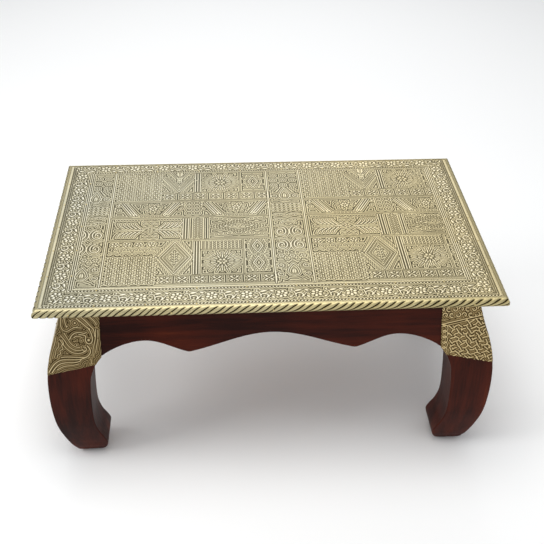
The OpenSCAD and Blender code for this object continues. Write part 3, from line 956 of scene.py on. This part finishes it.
# Places given as insets from the front left corner, stood in another corner
def inCorner(places, corner):
    sideX, sideY = corners[corner]
    return np.column_stack([-sideX * (places[:, 0] - tableHalfX), -sideY * (places[:, 1] - tableHalfY),
                            places[:, 2]])


def cornerPiece(kind, corner, bm, material):
    if corner in ("FrontRight", "BackLeft"):
        bmesh.ops.reverse_faces(bm, faces=bm.faces)
    node = kind + "_" + corner.replace("Left", "_left").replace("Right", "_right").lower()
    piece = addPiece(kind + corner, bm, material, [node])
    setPlaces(piece, inCorner(vertexPlaces(piece.data), corner))
    return piece


def ringAt(z):
    near, far = float(outerAt(z)), float(innerAt(z))
    return [Vector((near, near, z)), Vector((far, near, z)), Vector((far, far, z)), Vector((near, far, z))]


# A square section grown upwards level by level, with its four long edges eased
def makeLeg(corner):
    bm = bmesh.new()
    heights = [0.0, *levels[1:-1], boardUnderZ]
    face = bm.faces.new([bm.verts.new(place) for place in ringAt(heights[0])][::-1])
    ringEdges = list(face.edges)
    arrisEdges = []
    for z in heights[1:]:
        grown = bmesh.ops.extrude_edge_only(bm, edges=ringEdges)["geom"]
        newVerts = [part for part in grown if isinstance(part, bmesh.types.BMVert)]
        ringEdges = [part for part in grown if isinstance(part, bmesh.types.BMEdge)
                     and all(vert in newVerts for vert in part.verts)]
        places = ringAt(z)
        for vert in newVerts:
            arrisEdges += [edge for edge in vert.link_edges if edge.other_vert(vert) not in newVerts]
            vert.co = min(places, key=lambda place: (place.xy - vert.co.xy).length)
    bmesh.ops.contextual_create(bm, geom=ringEdges)
    bmesh.ops.recalc_face_normals(bm, faces=bm.faces)
    easeArrises(bm, arrisEdges, leg["arris"])
    keepFlatFaces(cornerPiece("leg", corner, bm, uprightWood))


for corner in corners:
    makeLeg(corner)
print("legs made")


cap = {"thick": 0.001, "bend": 0.0032, "stepMm": 0.85, "rise": 0.0009, "slope": 0.212, "lineMm": 3.1}
capLow, capHigh = [Vector(corner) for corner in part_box("cap_front_left")]
capBend = capLow.x + tableHalfX
capWidth = capHigh.x + tableHalfX
capCornerZ = capLow.z


def smoothRun(points):
    ends = [points[0]] + list(points) + [points[-1]]
    run = []
    for i in range(1, len(ends) - 2):
        a, b, c, d = (np.array(p, dtype=float) for p in ends[i - 1:i + 3])
        for t in np.linspace(0, 1, 5)[:-1]:
            run.append(tuple(0.5 * (2 * b + (c - a) * t + (2 * a - 5 * b + 4 * c - d) * t ** 2
                                    + (3 * b - a - 3 * c + d) * t ** 3)))
    run.append(tuple(points[-1]))
    return run


# The left-hand caps: leaf scrolls, in mm from the table's edge and above the cap's lowest corner
leafScrolls = [
    (2.6, [(59, 73), (63, 80), (70, 85), (80, 86), (87, 84), (92, 86)]),
    (2.6, [(77, 82), (85, 81), (90, 78), (89, 71), (92, 65), (98, 64), (102, 69), (102, 78), (99, 88),
           (94, 96)]),
    (2.2, [(67, 76), (72, 79), (79, 78), (84, 75)]),
    (2.4, [(42, 81), (49, 72), (55, 62), (64, 54), (75, 51), (83, 53)]),
    (2.2, [(49, 86), (55, 75), (61, 65), (69, 59), (78, 57)]),
    (2.4, [(40, 74), (47, 62), (56, 52), (67, 46), (79, 46), (88, 50)]),
    (2.2, [(84, 58), (88, 57), (90, 52), (85, 50), (82, 53)]),
    (2.6, [(92, 60), (96, 54), (97, 47), (91, 39), (82, 37), (66, 38), (51, 39), (40, 38)]),
    (2.8, [(14, 7), (21, 18), (29, 27), (41, 33), (58, 33), (76, 33), (90, 38)]),
    (2.6, [(20, 6), (27, 16), (36, 24), (48, 27), (64, 27), (75, 29), (78, 32)]),
    (2.2, [(30, 12), (44, 19), (61, 21), (74, 24)]),
    (2.2, [(44, 73), (47, 66), (43, 62), (45, 55), (39, 52), (40, 46), (34, 43), (33, 38)]),
    (2.0, [(38, 68), (37, 60), (32, 54), (30, 46), (27, 38)]),
    (2.0, [(33, 78), (30, 66), (26, 56), (22, 45), (18, 30)]),
    (2.6, [(75, 114), (83, 106), (92, 97), (99, 92)]),
    (2.4, [(84, 116), (92, 108), (100, 98), (106, 90), (107, 78)]),
    (2.2, [(51, 116), (53, 104), (55, 96)]),
    (2.2, [(46, 118), (44, 102), (47, 92), (55, 89), (63, 93), (71, 96), (82, 95)]),
    (2.0, [(110, 92), (108, 74), (105, 62), (102, 50), (102, 38)]),
    (2.0, [(114, 90), (113, 74), (110, 60), (107, 46)]),
    (2.0, [(96, 34), (98, 28), (96, 22)]),
    (2.0, [(100, 116), (108, 108), (113, 98)]),
    (2.2, [(40, 130), (50, 126), (60, 130), (72, 126), (86, 130), (104, 124)]),
]
leafDots = [(95, 71, 6.5), (72, 62, 4), (81, 70, 3.6), (56, 99, 4), (71, 105, 5.5), (86, 54, 3),
            (62, 110, 3.4)]


# Presses a run of points on the cap's front half (side 1) or end half (side -1)
def pressHalf(relief, side, points, width, height=1.0, fade=0.0):
    pressStroke(relief, [(side * u, h) for u, h in points], width, height, fade)


def drawLeafScrolls(relief):
    for side in (-1, 1):
        for width, points in leafScrolls:
            pressHalf(relief, side, smoothRun(points), width * 1.1, 1.0, 0.15)
        for u, h, size in leafDots:
            pressDome(relief, side * u, h, size, size, 0, 1.0)
        pressHalf(relief, side, arcPoints(71, 105, 8.5, 8.5, 0, 360, 20), 1.8, 0.9)


# The right-hand caps: rows of curls above a raised slanting cord, fans down the inner edge
# and a close lattice of hooked knots below
knots = {
    "pitchMm": 9.6,
    "rowMm": 7.4,
    "dashMm": 8.8,
    "rows": 13,
    "perRow": 10,
    "line": 3.2,
    "curlPitch": 12.5,
    "curlRow": 12,
    "cords": [(0, 2.6), (-4.4, 1.8)],
    "fans": [(7, 2.2, 1.0), (3.4, 1.8, 0.9)],
}


def drawKnotLattice(relief):
    rand = np.random.default_rng(11)
    pitch = knots["pitchMm"]
    half = knots["dashMm"] / 2
    for side in (-1, 1):
        for row in range(4):
            for k in range(8):
                u = 30 + knots["curlPitch"] * k + 6 * (row % 2)
                h = 136 - knots["curlRow"] * row
                turn = 120 * ((k + row) % 3)
                pressHalf(relief, side, arcPoints(u, h, 5, 3, turn, turn + 250), 2.8)
                pressDome(relief, side * u, h, 3.0, 3.0, 0, 1.0)
        for gap, width in knots["cords"]:
            pressHalf(relief, side, [(118, 82 + gap), (20, 102 + gap)], width)
        for h in np.arange(30, 80, 11.0):
            for radius, width, height in knots["fans"]:
                pressHalf(relief, side, arcPoints(112, h, radius, radius, 60, 290), width, height)
        for row in range(knots["rows"]):
            for k in range(knots["perRow"]):
                u = 8 + pitch * k + pitch / 2 * (row % 2) + rand.uniform(-1.2, 1.2)
                h = 5 + knots["rowMm"] * row - 0.1 * u + rand.uniform(-1, 1)
                if u > 101 or h > 96 - 0.2 * (u - 20):
                    continue
                angle = math.radians((24 if (k + row) % 2 else -48) + rand.uniform(-20, 20))
                du, dh = half * math.cos(angle), half * math.sin(angle)
                hook = rand.uniform(-2, 2)
                pressHalf(relief, side, [(u - du, h + dh), (u + hook, h + hook / 2), (u + du, h - dh)],
                          knots["line"])
                if (k + 2 * row) % 3 == 0:
                    pressDome(relief, side * (u + pitch / 2), h + 1, 4.2, 3.6, 0, 1.0)


# A thin skin folded over the leg's outer corner; s runs from the end half (-1) to the front half (1)
def makeCap(corner, draw):
    reach = capWidth / mm + 2
    relief = newRelief(-reach, reach, -3, 145)
    draw(relief)
    height, patina = pressedSheet(relief, 0.4, cap["lineMm"])
    step = cap["stepMm"] * mm
    bm = skirtedGrid(int(2 * (capWidth - capBend) / step), int((boardUnderZ - capCornerZ) / step))[0]
    spots = np.array([tuple(vert.co) for vert in bm.verts])
    s, t, inside = spots[:, 0], (spots[:, 1] + 1) / 2, spots[:, 2] < -0.5
    # the lower edge slants up to the apron, the inner edge keeps to the leg's own outline
    u = capBend + (capWidth - capBend) * np.abs(s)
    for settle in range(4):
        zLow = capCornerZ + cap["slope"] * (u - capBend)
        z = zLow + (boardUnderZ - zLow) * t
        face = outerAt(z) - cap["thick"]
        u = face + np.abs(s) * (np.minimum(capWidth, innerAt(z)) - face)
    away = u - face
    # round the sheet over the arris
    bend = cap["bend"]
    tilt = math.pi / 4 * (1 - np.clip(away / bend, 0, 1))
    nearIn = bend * (1 - np.cos(tilt))
    nearAlong = np.where(away < bend, bend * (1 - np.sin(tilt)), away)
    artX, artY = np.sign(s) * u / mm, (z - capCornerZ) / mm
    lift = sampled(height, relief, artX, artY)
    depth = np.where(inside, cap["thick"] + 0.0006, cap["rise"] * (0.9 - lift))
    across = face + nearIn + depth * np.cos(tilt)
    along = face + nearAlong + depth * np.sin(tilt)
    places = np.column_stack([np.where(s >= 0, along, across), np.where(s >= 0, across, along), z])
    piece = cornerPiece("cap", corner, bm, capBrass)
    setPlaces(piece, inCorner(places, corner))
    setPatinaAndShade(piece, np.where(inside, 0.2, sampled(patina, relief, artX, artY)))


for corner in corners:
    makeCap(corner, drawLeafScrolls if corner in ("FrontLeft", "BackRight") else drawKnotLattice)
print("caps made")


apron = {"edge": 0.002, "columns": 190, "rows": 22, "endGap": 0.0004, "probes": (0.0, 0.012, 0.02)}


def laidOut(alongX, along, across, z):
    return Vector((along, across, z) if alongX else (across, along, z))


# The bowed face and the back of an apron, measured near its end where it is deepest
def apronSection(tree, boxLow, boxHigh, alongX, half):
    spot = half - 0.001
    axis = 1 if alongX else 0
    sign = -1 if boxLow[axis] + boxHigh[axis] < 0 else 1
    inward = laidOut(alongX, 0, -sign, 0)
    zs = np.linspace(boxLow.z + 0.004, boardUnderZ - 0.0005, 40)
    outer = [tree.ray_cast(laidOut(alongX, spot, sign, z), inward)[0][axis] for z in zs]
    inner = [tree.ray_cast(laidOut(alongX, spot, 0, z), -inward)[0][axis] for z in zs]
    # carried on to the lowest point of the lower edge
    return [np.insert(np.array(run), 0, 2 * run[0] - run[2]) for run in (zs, outer, inner)]


# Height of the scalloped lower edge at each place along an apron
def lowerEdge(tree, alongX, spots, middle):
    heights = []
    for spot in spots:
        places = [middle + math.copysign(shift, middle) for shift in apron["probes"]]
        hits = [tree.ray_cast(laidOut(alongX, spot, place, 0), Vector((0, 0, 1)))[0] for place in places]
        heights.append(min([hit.z for hit in hits if hit], default=boardUnderZ))
    return np.array(heights)


def makeApron(name, alongX):
    node = "apron_" + name
    tree = solidTree(node)
    boxLow, boxHigh = [Vector(corner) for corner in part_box(node)]
    half = (tableHalfX if alongX else tableHalfY) - float(innerAt(boardUnderZ - 0.01))
    zs, outer, inner = apronSection(tree, boxLow, boxHigh, alongX, half)
    spots = np.linspace(-half, half, apron["columns"] + 1)
    inset = half - apron["endGap"]
    middle = (outer[-8] + inner[-8]) / 2
    low = eased(lowerEdge(tree, alongX, np.clip(spots, -inset, inset), middle), spots, 0.003)
    bm = bmesh.new()
    bmesh.ops.create_grid(bm, x_segments=apron["columns"], y_segments=apron["rows"], size=1.0)
    back = bmesh.ops.extrude_face_region(bm, geom=list(bm.faces), use_keep_orig=True)["geom"]
    for part in back:
        if isinstance(part, bmesh.types.BMVert):
            part.co.z = -1.0
    for vert in bm.verts:
        spot = vert.co.x * half
        lowZ = float(np.interp(spot, spots, low))
        z = lowZ + (boardUnderZ - lowZ) * (vert.co.y + 1) / 2
        face = float(np.interp(z, zs, inner if vert.co.z < -0.5 else outer))
        vert.co = laidOut(alongX, spot, face, z)
    bmesh.ops.recalc_face_normals(bm, faces=bm.faces)
    lower = []
    for edge in bm.edges:
        step = edge.verts[0].co - edge.verts[1].co
        atCorner = len(edge.link_faces) == 2 and edge.calc_face_angle() > 1.0
        isLow = edge.verts[0].co.z < boardUnderZ - 0.02 and abs(step.z) < 0.006
        if atCorner and isLow and abs(step[0 if alongX else 1]) > 0.0005:
            lower.append(edge)
    easeArrises(bm, lower, apron["edge"])
    wood = longWood if alongX else crossWood
    keepFlatFaces(addPiece("apron" + name.capitalize(), bm, wood, [node]))


for name in ("front", "back", "left", "right"):
    makeApron(name, name in ("front", "back"))
print("aprons made")


# Pieces that stay as they come from the frame, with better materials
kept = {
    "plank_": bareLong, "batten_l": bareCross, "batten_r": bareCross, "block_": bareLong,
    "tenon_pegs": bareCross, "batten_screws": screwSteel, "block_screws": screwSteel,
    "border_pins": topPinBrass, "rope_pins": topPinBrass, "cap_pins": capPinBrass,
}
for start, material in kept.items():
    for name, piece in nodes.items():
        if name.startswith(start):
            for slot in piece.material_slots:
                slot.material = material


room = {"floor": "F6F6F5", "world": "F2F4F7", "worldStrength": 0.58}
floorPaint, tree = newMaterial("painted studio floor")
coords = addNode(tree, "TexCoord").outputs["Object"]
grain = addNode(tree, "TexNoise", {"Scale": 60.0}, {"Vector": coords})
rough = addNode(tree, "MapRange", {"To Min": 0.8, "To Max": 0.9}, {"Value": grain})
paint = addNode(tree, "BsdfPrincipled", {"Base Color": linearColour(room["floor"])}, {"Roughness": rough})
addNode(tree, "OutputMaterial", links={"Surface": paint})
bm = bmesh.new()
bmesh.ops.create_grid(bm, x_segments=1, y_segments=1, size=6.0)
floorMesh = bpy.data.meshes.new("studioFloor")
bm.to_mesh(floorMesh)
bm.free()
studioFloor = bpy.data.objects.new("studioFloor", floorMesh)
bpy.context.scene.collection.objects.link(studioFloor)
floorMesh.materials.append(floorPaint)

world = bpy.data.worlds.new("studio")
bpy.context.scene.world = world
world.use_nodes = True
world.node_tree.nodes["Background"].inputs["Color"].default_value = linearColour(room["world"])
world.node_tree.nodes["Background"].inputs["Strength"].default_value = room["worldStrength"]

lamps = {
    "backLamp": {"at": (0.0, 2.6, 2.2), "aim": (0, 0, 0.4), "size": 2.4, "watts": 23},
    "topLamp": {"at": (-0.15, -0.3, 3.2), "aim": (0, 0, 0), "size": 2.0, "watts": 52},
    "sideLamp": {"at": (-2.2, -0.6, 1.8), "aim": (0, 0, 0.3), "size": 1.2, "watts": 22},
    "frontLamp": {"at": (0.5, -2.7, 0.9), "aim": (0, 0, 0.1), "size": 1.6, "watts": 8},
}
for name, lamp in lamps.items():
    light = bpy.data.lights.new(name, "AREA")
    light.size = lamp["size"]
    light.energy = lamp["watts"]
    holder = bpy.data.objects.new(name, light)
    holder.location = lamp["at"]
    holder.rotation_euler = (Vector(lamp["aim"]) - Vector(lamp["at"])).to_track_quat("-Z", "Y").to_euler()
    bpy.context.scene.collection.objects.link(holder)

view = {"at": (-0.0885, -1.7351, 1.4664), "turn": (55.645, -0.379, -3.108), "lens": 63.65}
cameraData = bpy.data.cameras.new("camera")
cameraData.lens = view["lens"]
cameraData.sensor_width = 36
camera = bpy.data.objects.new("camera", cameraData)
camera.location = view["at"]
camera.rotation_euler = [math.radians(angle) for angle in view["turn"]]
bpy.context.scene.collection.objects.link(camera)
bpy.context.scene.camera = camera
bpy.context.scene.view_settings.view_transform = "Standard"
